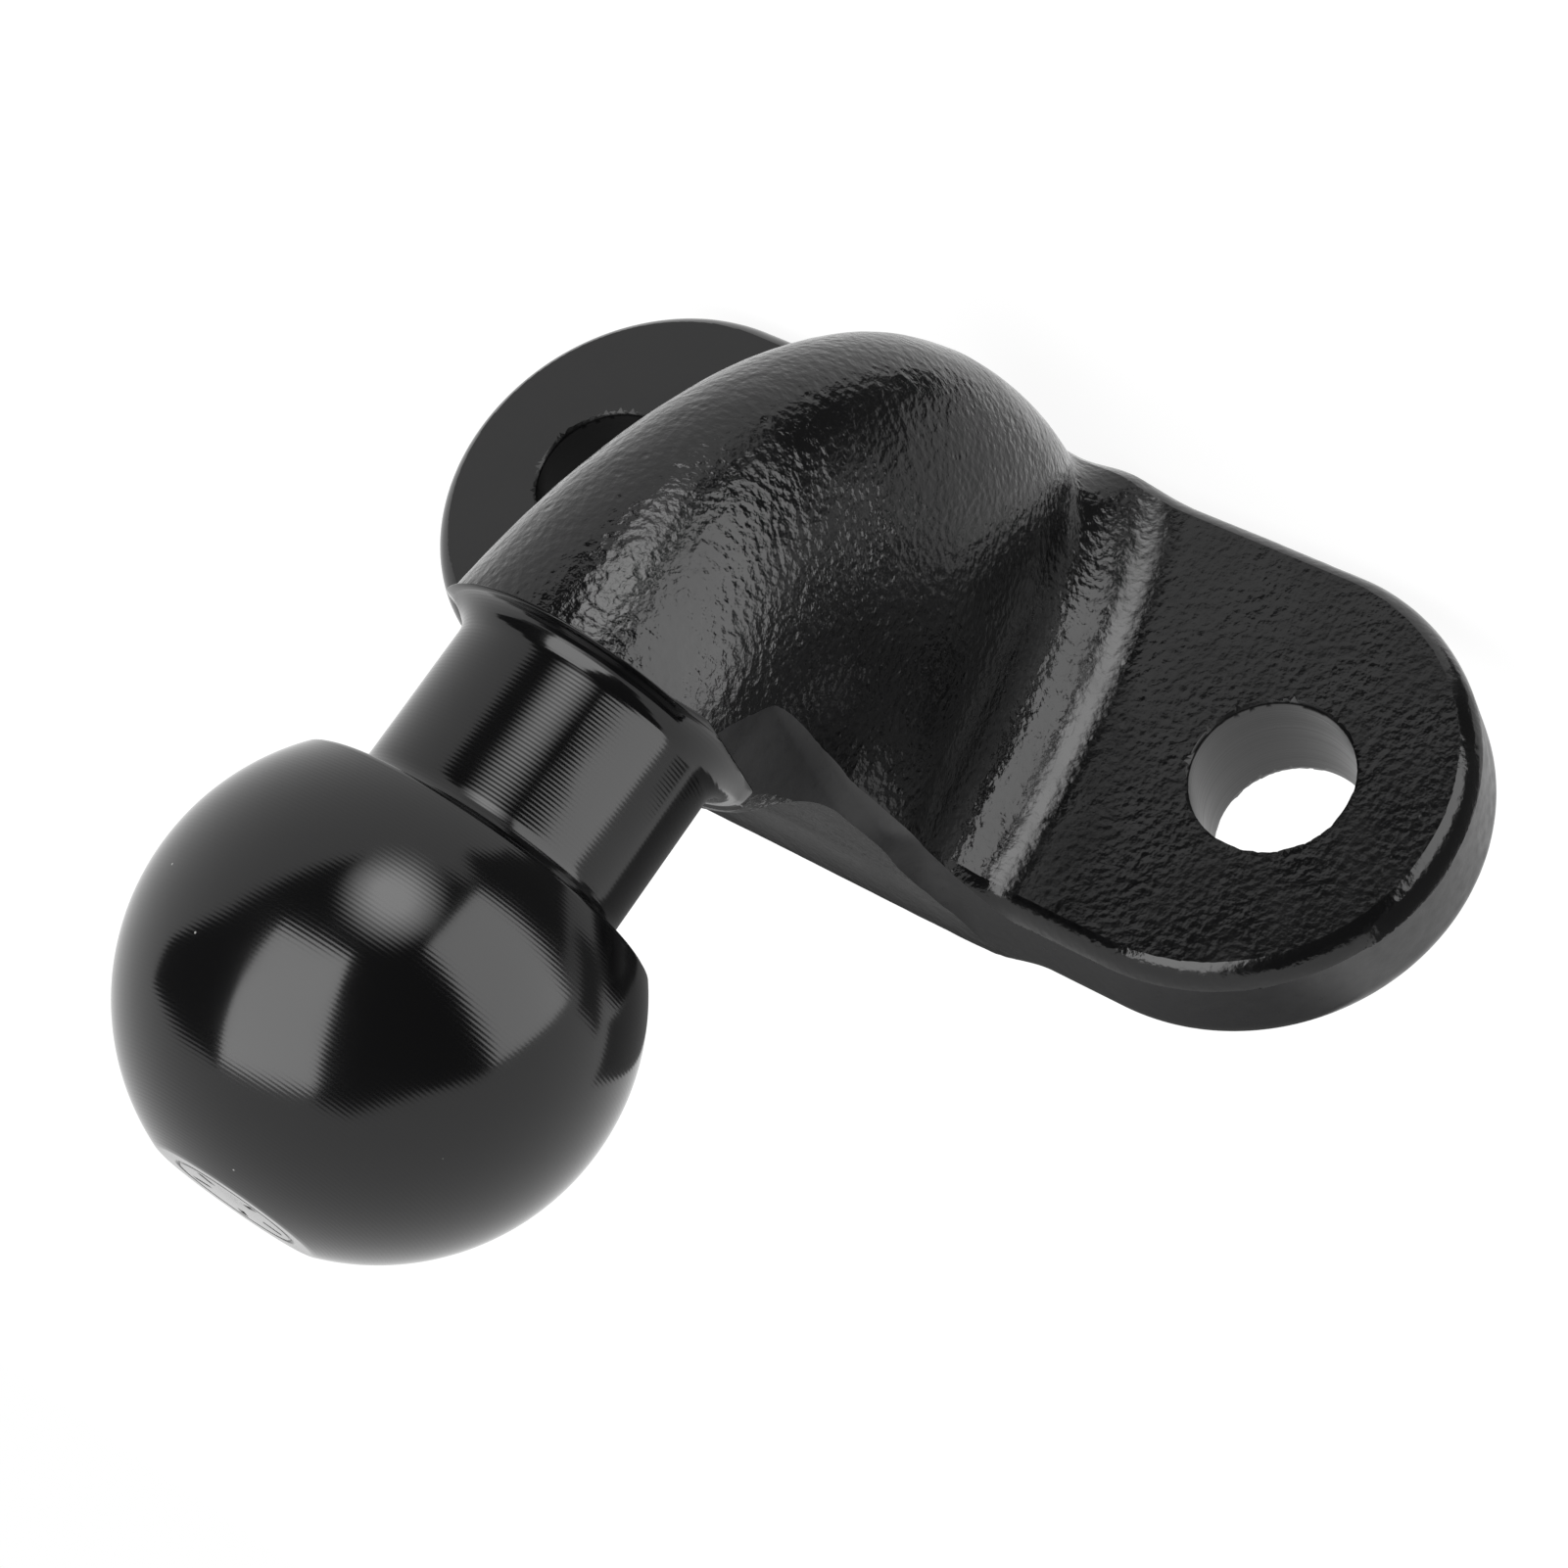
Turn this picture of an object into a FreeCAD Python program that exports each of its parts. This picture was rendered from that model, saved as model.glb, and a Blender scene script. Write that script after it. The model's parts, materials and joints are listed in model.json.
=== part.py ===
import FreeCAD, Part
import math
import os

import Sketcher

# Flange tow ball, two-bolt pattern: one drop forging with a turned ball and neck.
# Frame, millimetres: the mounting face lies on Y = 0 and faces +Y, towards the vehicle.
# The origin is midway between the two bolt holes, X runs through both holes, and the
# ball's axis points up +Z in front of the plate, on the -Y side.

DIMENSIONS = (
    ("ball_diameter", 50.0),
    ("ball_height", 73.0),          # ball centre above the bolt line
    ("ball_reach", 57.0),           # ball axis in front of the mounting face
    ("crown_flat_radius", 8.8),     # machined flat on top of the ball
    ("under_flat_drop", 15.4),      # flat under the ball, below the ball's centre
    ("neck_diameter", 28.8),
    ("neck_base_diameter", 34.0),
    ("neck_base_land", 0.8),        # turned ring on which the neck's flare ends
    ("neck_flare", 2.4),
    ("shoulder_height", 37.5),      # where the turned neck meets the forged arm
    ("bolt_spacing", 90.0),
    ("bolt_hole_diameter", 17.5),
    ("bolt_hole_edge", 0.25),
    ("plate_thickness", 15.0),
    ("ear_centre", 40.0),
    ("ear_round", 26.0),
    ("ear_draft", 2.3),
    ("ear_front_edge", 4.5),
    ("ear_back_edge", 3.0),
    ("root_half_width", 27.0),
    ("arm_foot_top", 24.6),         # upper edge of the arm where it leaves the plate
    ("arm_foot_bottom", 24.4),      # lower edge, below the bolt line
    ("arm_shoulder_front", 18.6),   # shoulder, measured from the ball's axis
    ("arm_shoulder_back", 17.2),
    ("arm_foot_fillet", 5.0),       # hollow fillet between the arm's sides and the ears
    ("arm_outer_start", 32.8),      # handles of the outer curve
    ("arm_outer_end", 38.3),
)

# The arm's cross-section at the foot, a third and two thirds of the way, and the shoulder.
ARM_HALF_WIDTH = (22.0, 23.4, 18.2, 17.0)
ARM_PARTING = (0.02, 0.05, 0.16, 0.48)      # widest line, as a share of the depth
ARM_OUTER_POWER = (2.8, 2.2, 2.1, 2.0)      # 2 is an ellipse, more is squarer
ARM_INNER_POWER = (4.1, 2.9, 2.5, 2.0)
ARM_TAPER = (0.30, 0.21, 0.08, 0.0)         # narrowing towards the outer side
ARM_INNER_HANDLES = ((-24.6, 26.2), (-33.8, 29.4))
ARM_SECTION_PLACES = (0.0, 0.012, 0.03, 0.055, 0.09, 0.18, 0.3, 0.42, 0.54, 0.66, 0.78, 0.89, 1.0)
ARM_POINTS = 16

doc = FreeCAD.newDocument("tow_ball")


def add_sheet():
    """Keep the driving dimensions in a spreadsheet, one alias to a cell."""
    sheet = doc.addObject("Spreadsheet::Sheet", "dims")
    for row, (alias, value) in enumerate(DIMENSIONS, start=1):
        sheet.set("A%d" % row, alias)
        sheet.set("B%d" % row, str(value))
        sheet.setAlias("B%d" % row, alias)
    doc.recompute()
    return sheet


sheet = add_sheet()


def size(alias):
    """Read one driving dimension back from the sheet."""
    return float(getattr(sheet, alias))


def add_body(label):
    body = doc.addObject("PartDesign::Body", label)
    body.Label = label
    return body


def origin_plane(body, role):
    return next(f for f in body.Origin.OriginFeatures if f.Role == role)


def add_sketch(body, name, role):
    sketch = body.newObject("Sketcher::SketchObject", name)
    sketch.AttachmentSupport = [(origin_plane(body, role), "")]
    sketch.MapMode = "FlatFace"
    return sketch


def drive(sketch, constraint, name, expression):
    """Add a dimension to a sketch and bind it to the sheet."""
    index = sketch.addConstraint(constraint)
    sketch.renameConstraint(index, name)
    sketch.setExpression("Constraints." + name, expression)


def line(sketch, start, end):
    return sketch.addGeometry(Part.LineSegment(FreeCAD.Vector(*start, 0), FreeCAD.Vector(*end, 0)), False)


def close_loop(sketch, edges):
    """Join the end of each edge to the start of the next."""
    for first, second in zip(edges, edges[1:] + edges[:1]):
        sketch.addConstraint(Sketcher.Constraint("Coincident", first, 2, second, 1))


def round_edges(body, feature, name, edges, radius):
    fillet = body.newObject("PartDesign::Fillet", name)
    fillet.Base = (feature, edges)
    fillet.setExpression("Radius", radius)
    doc.recompute()
    return fillet


def edges_where(shape, test):
    return ["Edge%d" % number for number, edge in enumerate(shape.Edges, start=1) if test(edge)]


# ---- turned pieces ---------------------------------------------------------


def revolve(body, sketch, name):
    turned = body.newObject("PartDesign::Revolution", name)
    turned.Profile = sketch
    turned.ReferenceAxis = (sketch, ["V_Axis"])
    turned.Angle = 360.0
    doc.recompute()
    return turned


def stand_on_ball_axis(body):
    body.setExpression("Placement.Base.y", "-dims.ball_reach")


def make_ball():
    """The 50 mm ball: a sphere with a flat crown and a flat where the neck enters."""
    body = add_body("ball")
    radius = size("ball_diameter") / 2
    centre = size("ball_height")
    crown = size("crown_flat_radius")
    drop = size("under_flat_drop")
    top = (crown, centre + math.sqrt(radius ** 2 - crown ** 2))
    low = (math.sqrt(radius ** 2 - drop ** 2), centre - drop)

    sketch = add_sketch(body, "ball_profile", "XZ_Plane")
    under = line(sketch, (0, low[1]), low)
    circle = Part.Circle(FreeCAD.Vector(0, centre, 0), FreeCAD.Vector(0, 0, 1), radius)
    start = math.atan2(low[1] - centre, low[0])
    end = math.atan2(top[1] - centre, top[0])
    arc = sketch.addGeometry(Part.ArcOfCircle(circle, start, end), False)
    crown_line = line(sketch, top, (0, top[1]))
    axis = line(sketch, (0, top[1]), (0, low[1]))
    close_loop(sketch, [under, arc, crown_line, axis])
    sketch.addConstraint(Sketcher.Constraint("Horizontal", under))
    sketch.addConstraint(Sketcher.Constraint("Horizontal", crown_line))
    sketch.addConstraint(Sketcher.Constraint("PointOnObject", axis, 1, -2))
    sketch.addConstraint(Sketcher.Constraint("PointOnObject", axis, 2, -2))
    sketch.addConstraint(Sketcher.Constraint("PointOnObject", arc, 3, -2))
    drive(sketch, Sketcher.Constraint("Radius", arc, radius), "sphere", "dims.ball_diameter / 2")
    drive(sketch, Sketcher.Constraint("DistanceY", -1, 1, arc, 3, centre), "height", "dims.ball_height")
    drive(sketch, Sketcher.Constraint("DistanceY", under, 1, arc, 3, drop), "drop", "dims.under_flat_drop")
    drive(sketch, Sketcher.Constraint("DistanceX", crown_line, 2, crown_line, 1, crown), "crown",
          "dims.crown_flat_radius")
    revolve(body, sketch, "ball_turned")
    stand_on_ball_axis(body)
    return body


def make_neck():
    """The turned neck, with its flare on the arm's shoulder."""
    body = add_body("neck")
    foot = size("shoulder_height")
    land = foot + size("neck_base_land")
    top = size("ball_height") - size("under_flat_drop")
    wide = size("neck_base_diameter") / 2
    slim = size("neck_diameter") / 2

    sketch = add_sketch(body, "neck_profile", "XZ_Plane")
    corners = [(0, foot), (wide, foot), (wide, land), (slim, land), (slim, top), (0, top)]
    edges = [line(sketch, start, end) for start, end in zip(corners, corners[1:] + corners[:1])]
    close_loop(sketch, edges)
    for level in (0, 2, 4):
        sketch.addConstraint(Sketcher.Constraint("Horizontal", edges[level]))
    for upright in (1, 3, 5):
        sketch.addConstraint(Sketcher.Constraint("Vertical", edges[upright]))
    sketch.addConstraint(Sketcher.Constraint("PointOnObject", edges[5], 1, -2))
    drive(sketch, Sketcher.Constraint("DistanceY", -1, 1, edges[0], 1, foot), "foot",
          "dims.shoulder_height")
    drive(sketch, Sketcher.Constraint("DistanceY", edges[1], 1, edges[1], 2, land - foot), "land",
          "dims.neck_base_land")
    drive(sketch, Sketcher.Constraint("DistanceY", -1, 1, edges[4], 1, top), "top",
          "dims.ball_height - dims.under_flat_drop")
    drive(sketch, Sketcher.Constraint("DistanceX", edges[0], 1, edges[0], 2, wide), "base",
          "dims.neck_base_diameter / 2")
    drive(sketch, Sketcher.Constraint("DistanceX", edges[4], 2, edges[4], 1, slim), "slim",
          "dims.neck_diameter / 2")
    turned = revolve(body, sketch, "neck_turned")

    def flare(edge):
        circle = isinstance(edge.Curve, Part.Circle)
        return circle and abs(edge.Curve.Radius - slim) < 0.01 and edge.BoundBox.ZMax < land + 0.01

    round_edges(body, turned, "neck_flare", edges_where(turned.Shape, flare), "dims.neck_flare")
    stand_on_ball_axis(body)
    return body


# ---- the mounting plate ----------------------------------------------------


def pad_plate(body, sketch, name, thickness, draft):
    pad = body.newObject("PartDesign::Pad", name)
    pad.Profile = sketch
    pad.setExpression("Length", thickness)
    pad.setExpression("TaperAngle", draft)
    doc.recompute()
    return pad


def ear_outline(body):
    """Two round ears joined by straight edges, drawn on the mounting face."""
    sketch = add_sketch(body, "ear_outline", "XZ_Plane")
    reach = size("ear_centre")
    radius = size("ear_round")
    quarter = math.pi / 2
    right = Part.Circle(FreeCAD.Vector(reach, 0, 0), FreeCAD.Vector(0, 0, 1), radius)
    left = Part.Circle(FreeCAD.Vector(-reach, 0, 0), FreeCAD.Vector(0, 0, 1), radius)
    right_end = sketch.addGeometry(Part.ArcOfCircle(right, -quarter, quarter), False)
    upper = line(sketch, (reach, radius), (-reach, radius))
    left_end = sketch.addGeometry(Part.ArcOfCircle(left, quarter, 3 * quarter), False)
    lower = line(sketch, (-reach, -radius), (reach, -radius))
    for first, second in ((right_end, upper), (upper, left_end), (left_end, lower), (lower, right_end)):
        sketch.addConstraint(Sketcher.Constraint("Tangent", first, 2, second, 1))
    sketch.addConstraint(Sketcher.Constraint("PointOnObject", right_end, 3, -1))
    sketch.addConstraint(Sketcher.Constraint("Symmetric", left_end, 3, right_end, 3, -1, 1))
    drive(sketch, Sketcher.Constraint("Radius", right_end, radius), "round", "dims.ear_round")
    drive(sketch, Sketcher.Constraint("DistanceX", -1, 1, right_end, 3, reach), "reach",
          "dims.ear_centre")
    return sketch


def root_outline(body):
    """The square-edged middle of the plate, under the arm's foot."""
    sketch = add_sketch(body, "root_outline", "XZ_Plane")
    half = size("root_half_width")
    tall = size("ear_round")
    corners = [(-half, -tall), (half, -tall), (half, tall), (-half, tall)]
    edges = [line(sketch, start, end) for start, end in zip(corners, corners[1:] + corners[:1])]
    close_loop(sketch, edges)
    for level in (0, 2):
        sketch.addConstraint(Sketcher.Constraint("Horizontal", edges[level]))
    for upright in (1, 3):
        sketch.addConstraint(Sketcher.Constraint("Vertical", edges[upright]))
    sketch.addConstraint(Sketcher.Constraint("Symmetric", edges[0], 1, edges[1], 2, -1, 1))
    drive(sketch, Sketcher.Constraint("DistanceX", -1, 1, edges[0], 2, half), "half",
          "dims.root_half_width")
    drive(sketch, Sketcher.Constraint("DistanceY", -1, 1, edges[2], 1, tall), "tall",
          "dims.ear_round")
    return sketch


def bolt_holes(body):
    sketch = add_sketch(body, "bolt_circles", "XZ_Plane")
    radius = size("bolt_hole_diameter") / 2
    half = size("bolt_spacing") / 2
    normal = FreeCAD.Vector(0, 0, 1)
    rings = [sketch.addGeometry(Part.Circle(FreeCAD.Vector(x, 0, 0), normal, radius), False)
             for x in (half, -half)]
    sketch.addConstraint(Sketcher.Constraint("Equal", rings[0], rings[1]))
    sketch.addConstraint(Sketcher.Constraint("PointOnObject", rings[0], 3, -1))
    sketch.addConstraint(Sketcher.Constraint("Symmetric", rings[0], 3, rings[1], 3, -1, 1))
    drive(sketch, Sketcher.Constraint("Radius", rings[0], radius), "bolt",
          "dims.bolt_hole_diameter / 2")
    drive(sketch, Sketcher.Constraint("DistanceX", -1, 1, rings[0], 3, half), "pitch",
          "dims.bolt_spacing / 2")
    return sketch


def make_flange():
    """The plate that is bolted to the tow bar: two drilled ears and a square-edged root."""
    body = add_body("flange")
    thickness = size("plate_thickness")
    plate = pad_plate(body, ear_outline(body), "ears", "dims.plate_thickness", "-dims.ear_draft")
    front = edges_where(plate.Shape, lambda e: e.BoundBox.YMax < -thickness + 0.01)
    rounded = round_edges(body, plate, "front_edges", front, "dims.ear_front_edge")
    back = edges_where(rounded.Shape, lambda e: e.BoundBox.YMin > -0.01)
    round_edges(body, rounded, "back_edges", back, "dims.ear_back_edge")
    pad_plate(body, root_outline(body), "root", "dims.plate_thickness", "-dims.ear_draft")

    before = body.Shape.Volume
    holes = body.newObject("PartDesign::Pocket", "bolt_holes")
    holes.Profile = bolt_holes(body)
    holes.Type = "ThroughAll"
    holes.Midplane = True
    doc.recompute()
    radius = size("bolt_hole_diameter") / 2
    expected = 2 * math.pi * radius ** 2 * thickness
    removed = before - body.Shape.Volume
    if abs(removed - expected) > 0.02 * expected:
        raise RuntimeError("the bolt holes removed %.0f mm3, not %.0f" % (removed, expected))

    def hole_rim(edge):
        round_edge = isinstance(edge.Curve, Part.Circle)
        return round_edge and abs(edge.Curve.Radius - radius) < 0.01

    chamfer = body.newObject("PartDesign::Chamfer", "bolt_hole_edges")
    chamfer.Base = (holes, edges_where(holes.Shape, hole_rim))
    chamfer.setExpression("Size", "dims.bolt_hole_edge")
    doc.recompute()
    return body


# ---- the forged arm --------------------------------------------------------


def smooth(values, s):
    """A smooth curve through the four station values, by Catmull-Rom spans."""
    spans = len(values) - 1
    span = min(int(s * spans), spans - 1)
    t = s * spans - span
    p1, p2 = values[span], values[span + 1]
    p0 = values[span - 1] if span > 0 else 2 * p1 - p2
    p3 = values[span + 2] if span + 2 <= spans else 2 * p2 - p1
    return p1 + 0.5 * t * (p2 - p0 + t * (2 * p0 - 5 * p1 + 4 * p2 - p3 + t * (3 * (p1 - p2) + p3 - p0)))


def bezier(points, s):
    weights = ((1 - s) ** 3, 3 * (1 - s) ** 2 * s, 3 * (1 - s) * s ** 2, s ** 3)
    return tuple(sum(w * p[k] for w, p in zip(weights, points)) for k in (0, 1))


def arm_curves():
    """The inner and outer curves of the arm, in the Y-Z plane."""
    foot = -size("plate_thickness")
    axis = -size("ball_reach")
    shoulder = size("shoulder_height")
    bottom = -size("arm_foot_bottom")
    front = axis - size("arm_shoulder_front")
    inner = ((foot, size("arm_foot_top")), *ARM_INNER_HANDLES,
             (axis + size("arm_shoulder_back"), shoulder))
    outer = ((foot, bottom), (foot - size("arm_outer_start"), bottom),
             (front, shoulder - size("arm_outer_end")), (front, shoulder))
    return inner, outer


def foot_flare(y):
    """How far the hollow fillet at the plate stands out from the arm's side, at this Y."""
    radius = size("arm_foot_fillet")
    rise = radius - (-size("plate_thickness") - y)
    if rise <= 0:
        return 0.0
    return radius - math.sqrt(max(radius ** 2 - rise ** 2, 0.0))


def section_point(s, angle, side, inner_point, outer_point):
    """A point of the section at s; the angle runs from the inner edge to the outer edge."""
    half = smooth(ARM_HALF_WIDTH, s)
    parting = smooth(ARM_PARTING, s)
    outside = angle > 0
    power = 2 / smooth(ARM_OUTER_POWER if outside else ARM_INNER_POWER, s)
    across = max(math.cos(angle), 0.0) ** power
    along = abs(math.sin(angle)) ** power
    if outside:
        x = side * half * across * (1 - smooth(ARM_TAPER, s) * along)
        depth = parting + (1 - parting) * along
    else:
        x = side * half * across
        depth = parting * (1 - along)
    y, z = (near + (far - near) * depth for near, far in zip(inner_point, outer_point))
    return FreeCAD.Vector(x + side * foot_flare(y) * min(1.0, abs(x) / 6), y, z)


def arm_section(s, inner, outer):
    """One closed, egg-shaped section of the arm: a curve up each side."""
    ends = (bezier(inner, s), bezier(outer, s))
    angles = [math.pi * (number / ARM_POINTS - 0.5) for number in range(1, ARM_POINTS)]
    inner_end = FreeCAD.Vector(0, *ends[0])
    outer_end = FreeCAD.Vector(0, *ends[1])
    edges = []
    for side, start, end in ((1, inner_end, outer_end), (-1, outer_end, inner_end)):
        order = angles if side > 0 else angles[::-1]
        curve = Part.BSplineCurve()
        curve.interpolate(Points=[start, *(section_point(s, a, side, *ends) for a in order), end])
        edges.append(curve.toShape())
    return Part.Wire(edges)


def make_arm():
    """The forged arm, lofted from the plate's face up to the shoulder under the neck."""
    inner, outer = arm_curves()
    arm = doc.addObject("Part::Feature", "arm")
    arm.Label = "arm"
    arm.Shape = Part.makeLoft([arm_section(s, inner, outer) for s in ARM_SECTION_PLACES], True, False)
    return arm


# ---- check and write -------------------------------------------------------


def check(parts):
    doc.recompute()
    for item in doc.Objects:
        if "Invalid" in item.State or "Error" in item.State:
            raise RuntimeError(item.Label + " did not compute")
    for part in parts:
        shape = part.Shape
        if shape.isNull() or not shape.isValid() or len(shape.Solids) != 1:
            raise RuntimeError(part.Label + " is not one valid solid")


parts = [make_ball(), make_neck(), make_arm(), make_flange()]
check(parts)
os.makedirs("parts", exist_ok=True)
for part in parts:
    part.Shape.exportStep(os.path.join("parts", part.Label + ".step"))
    box = part.Shape.BoundBox
    print("%-8s volume %8.0f  x %6.1f %6.1f  y %6.1f %6.1f  z %6.1f %6.1f" % (
        part.Label, part.Shape.Volume, box.XMin, box.XMax, box.YMin, box.YMax, box.ZMin, box.ZMax))
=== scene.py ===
import json
import math

import bpy
import numpy as np
from bpy.props import FloatProperty, FloatVectorProperty, IntProperty, PointerProperty
from mathutils import Matrix, Vector


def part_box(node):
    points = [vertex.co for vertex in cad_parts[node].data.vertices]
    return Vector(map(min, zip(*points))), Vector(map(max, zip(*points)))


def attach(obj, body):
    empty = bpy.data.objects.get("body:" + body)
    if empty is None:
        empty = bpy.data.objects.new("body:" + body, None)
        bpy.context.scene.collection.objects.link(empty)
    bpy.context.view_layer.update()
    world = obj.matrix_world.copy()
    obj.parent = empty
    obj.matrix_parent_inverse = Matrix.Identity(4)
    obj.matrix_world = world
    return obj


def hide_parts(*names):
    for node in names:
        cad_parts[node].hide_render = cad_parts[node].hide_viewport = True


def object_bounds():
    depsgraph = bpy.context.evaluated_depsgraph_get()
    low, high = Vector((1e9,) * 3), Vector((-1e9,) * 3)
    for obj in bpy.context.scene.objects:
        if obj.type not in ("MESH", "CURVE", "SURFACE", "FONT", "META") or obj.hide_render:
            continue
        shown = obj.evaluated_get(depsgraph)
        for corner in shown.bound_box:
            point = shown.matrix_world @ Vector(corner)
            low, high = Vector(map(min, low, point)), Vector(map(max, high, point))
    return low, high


bl_info = {
    "name": "Flange tow ball",
    "version": (1, 0, 0),
    "blender": (4, 5, 0),
    "location": "3D View > Sidebar > Tow ball",
    "description": "Builds a painted tow ball: a rough drop forging with a turned ball and neck",
    "category": "Object",
}

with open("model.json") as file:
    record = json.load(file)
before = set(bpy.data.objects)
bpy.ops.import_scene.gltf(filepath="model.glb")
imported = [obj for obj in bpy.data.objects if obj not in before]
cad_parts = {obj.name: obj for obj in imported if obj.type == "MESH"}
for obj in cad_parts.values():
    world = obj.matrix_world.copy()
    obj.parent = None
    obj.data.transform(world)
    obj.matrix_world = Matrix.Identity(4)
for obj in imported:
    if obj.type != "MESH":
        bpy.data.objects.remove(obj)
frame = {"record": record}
CAD_BOX = [list(corner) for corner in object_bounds()]

# Metres in Blender. The forging's shape is worked out in millimetres, and MM turns it back.
MM = 0.001


# ---- sizes read from the frame ----------------------------------------------


def node_box(name):
    """A node's lowest and highest corners, in millimetres."""
    return [np.array(corner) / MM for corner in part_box(name)]


BALL_LOW, BALL_HIGH = node_box("ball")
NECK_LOW, NECK_HIGH = node_box("neck")
PLATE_LOW, PLATE_HIGH = node_box("flange")
BALL_RADIUS = (BALL_HIGH[0] - BALL_LOW[0]) / 2
AXIS_Y = (BALL_HIGH[1] + BALL_LOW[1]) / 2
UNDER_FLAT = BALL_LOW[2]
CROWN = BALL_HIGH[2]
SHOULDER = NECK_LOW[2]
PLATE = -PLATE_LOW[1]
EAR_ROUND = PLATE_HIGH[2]
EAR_CENTRE = 40.0
BOLTS = next(m["dims"] for m in frame["record"]["mounts"] if m["kind"] == "bolt_pattern")
HOLE_X = BOLTS["spacing_x_mm"] / 2
HOLE_RADIUS = BOLTS["hole_r_mm"]


# ---- what a user would change -----------------------------------------------


class TowBallSizes(bpy.types.PropertyGroup):
    """Sizes of the turned work and of the forging's edges."""

    neck_diameter: FloatProperty(
        name="Neck diameter", description="Straight part of the neck",
        default=28.8 * MM, unit="LENGTH")
    crown_radius: FloatProperty(
        name="Crown flat", description="Radius of the flat on top of the ball",
        default=8.8 * MM, unit="LENGTH")
    flare_radius: FloatProperty(
        name="Flare", description="Hollow radius where the neck meets the shoulder",
        default=2.4 * MM, unit="LENGTH")
    root_radius: FloatProperty(
        name="Root", description="Hollow radius under the ball",
        default=2.8 * MM, unit="LENGTH")
    lathe_pitch: FloatProperty(
        name="Lathe pitch", description="Distance between two tool marks",
        default=0.42 * MM, unit="LENGTH")
    cell: FloatProperty(
        name="Cell", description="Cell size of the forging's mesh",
        default=0.5 * MM, unit="LENGTH")
    faces: IntProperty(
        name="Triangles", description="Most triangles that the forging's mesh keeps",
        default=196000)


class TowBallFinish(bpy.types.PropertyGroup):
    """Colours and gloss of the black paint and of the studio."""

    paint: FloatVectorProperty(
        name="Paint", description="Colour of the black paint", subtype="COLOR",
        default=(0.0024, 0.0024, 0.0026))
    turned_gloss: FloatProperty(
        name="Turned roughness", description="Paint on turned metal", default=0.13, subtype="FACTOR")
    forged_gloss: FloatProperty(
        name="Forged roughness", description="Paint on forged skin", default=0.14, subtype="FACTOR")
    trimmed: FloatVectorProperty(
        name="Trimmed paint", description="Colour of the thin paint on trimmed edges", subtype="COLOR",
        default=(0.013, 0.013, 0.0135))
    trimmed_gloss: FloatProperty(
        name="Trimmed roughness", description="Paint on trimmed edges", default=0.32, subtype="FACTOR")
    surround: FloatProperty(
        name="Surround", description="Brightness of the white studio", default=1.0)


# ---- the forging's shape, as a field in millimetres -------------------------
# A field is negative inside and positive outside, and close to a distance near the surface.

# The arm: its inner and outer curves in y and z, then its sections at the foot, at one third, at two thirds
# and at the shoulder. Power 2 is an ellipse and more is squarer; taper narrows towards the outer side.
ARM_INNER = ((-14.0, 30.2), (-24.6, 31.6), (-33.0, 34.0), (-38.7, 37.5))
ARM_OUTER = ((-14.0, -24.5), (-46.7, -24.5), (-75.6, -0.8), (-75.2, 37.5))
ARM_HALF_WIDTH = (19.6, 20.9, 17.7, 16.9)
ARM_PARTING = (0.075, 0.10, 0.20, 0.49)     # where it is widest, as a share of the way from inner to outer
ARM_OUTER_POWER = (2.8, 2.2, 2.1, 2.0)
ARM_INNER_POWER = (6.0, 6.0, 4.0, 2.1)
ARM_TAPER = (0.227, 0.138, 0.07, 0.0)
RUN_OUT = -0.3                    # the arm runs on into the plate, past its first section
INNER_FACE = (25.2, -0.15)        # height of the flat inner face at the mounting face, and its slope along y
SHOULDER_COLUMN = 17.9            # radius of the round shoulder under the neck, on the inner side
INNER_HOLLOW = 10.0               # hollow radius between the inner face and the shoulder
SECTION_AREA = ((-80.0, -30.0), (6.0, 46.0))    # y and z that the sections are looked up in

# The plate and the hollow fillets where the arm leaves it.
EAR_DRAFT = math.tan(math.radians(2.3))
ROLLED_EDGE = 4.2                 # front edge of the ears
ROLLED_GRAIN = 0.9                # how much of the skin's grain that edge keeps
ROLLED_INSET = 0.12               # how far it stays inside the trimmed outline
ROLLED_LIFT = 0.6                 # how far it starts in front of the forged face
BACK_EDGE = 4.6                   # back edge of the ears
BACK_EDGE_MIDDLE = 0.5            # back edge between the ears
BACK_EDGE_GROWS = (22.0, 31.0)    # from the one to the other, by distance from the middle
FOOT_FILLET = 9.5                 # at the arm's sides
INNER_FILLET = 0.6                # at its inner side
LOWER_FILLET = 3.0                # under it
FILLET_GROWS = (4.0, 13.0)
HOLE_EDGE = 0.35

# The strip that the flash is sheared off to, up both sides of the arm.
STRIP_WIDTH = 17.0                # half-width
STRIP_FOOT = 28.6                 # above this height it narrows
STRIP_LEAN = 0.10
STRIP_FILLET = 5.0                # hollow radius between the strip and the ears
# Where the strip meets the forged flank, in y and z.
TRIM_LINE = ((-64.0, 45.0), (-60.5, 35.5), (-58.5, 31.4), (-54.7, 29.3), (-44.4, 27.9), (-33.9, 27.1),
             (-22.0, 26.0))
TRIM_LINE_FADES = (-26.0, -18.0)  # towards the plate the strip keeps its own width again

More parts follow.
